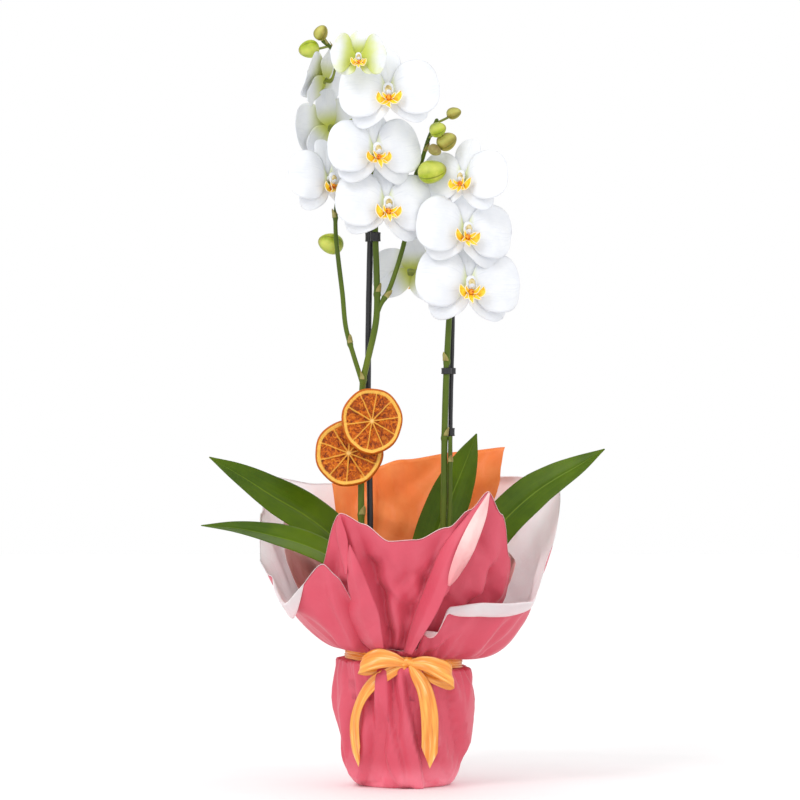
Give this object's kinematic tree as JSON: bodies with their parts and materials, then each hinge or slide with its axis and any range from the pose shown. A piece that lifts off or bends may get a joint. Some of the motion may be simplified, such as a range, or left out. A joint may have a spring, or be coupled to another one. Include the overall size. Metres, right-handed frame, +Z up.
{
  "type": "potted orchid",
  "caption": "Moth orchid with two flower spikes in a nursery pot, gift-wrapped in two-tone paper with a satin bow and dried orange slices.",
  "frame": {"origin": "centre of the flat underside of the wrapped pot", "axes": "+Z up along the plant, -Y the front with the bow, +X the wrapped pot's right-hand side seen from the front"},
  "size_m": [0.4016, 0.2564, 0.7586],
  "materials": {
    "rose_paper": "matte",
    "orange_paper": "matte",
    "satin_ribbon": "satin",
    "black_plastic": "satin",
    "bark": "matte",
    "root": "matte",
    "leaf": "satin",
    "stem": "satin",
    "petal": "satin",
    "bud": "satin",
    "dried_orange": "matte",
    "florist_wire": "satin"
  },
  "bodies": {
    "root": {"bark_substrate": "bark", "bud_1": "bud", "bud_2": "bud", "bud_3": "bud", "bud_4": "bud", "bud_5": "bud", "bud_6": "bud", "bud_7": "bud", "bud_8": "bud", "clip_left": "black_plastic", "clip_low": "black_plastic", "clip_right": "black_plastic", "cut_spike_stub": "stem", "flower_1": "petal", "flower_10": "petal", "flower_11": "petal", "flower_2": "petal", "flower_3": "petal", "flower_4": "petal", "flower_5": "petal", "flower_6": "petal", "flower_7": "petal", "flower_8": "petal", "flower_9": "petal", "flower_spike_left": "stem", "flower_spike_right": "stem", "leaf_back": "leaf", "leaf_left_lower": "leaf", "leaf_left_upper": "leaf", "leaf_right": "leaf", "nursery_pot": "black_plastic", "orange_slice_lower": "dried_orange", "orange_slice_upper": "dried_orange", "orchid_crown": "stem", "paper_inner": "rose_paper", "paper_orange": "orange_paper", "paper_outer": "rose_paper", "ribbon_band": "satin_ribbon", "ribbon_bow": "satin_ribbon", "root_1": "root", "root_2": "root", "root_3": "root", "slice_wire": "florist_wire", "stake_left": "black_plastic", "stake_right": "black_plastic"}
  },
  "joints": []
}
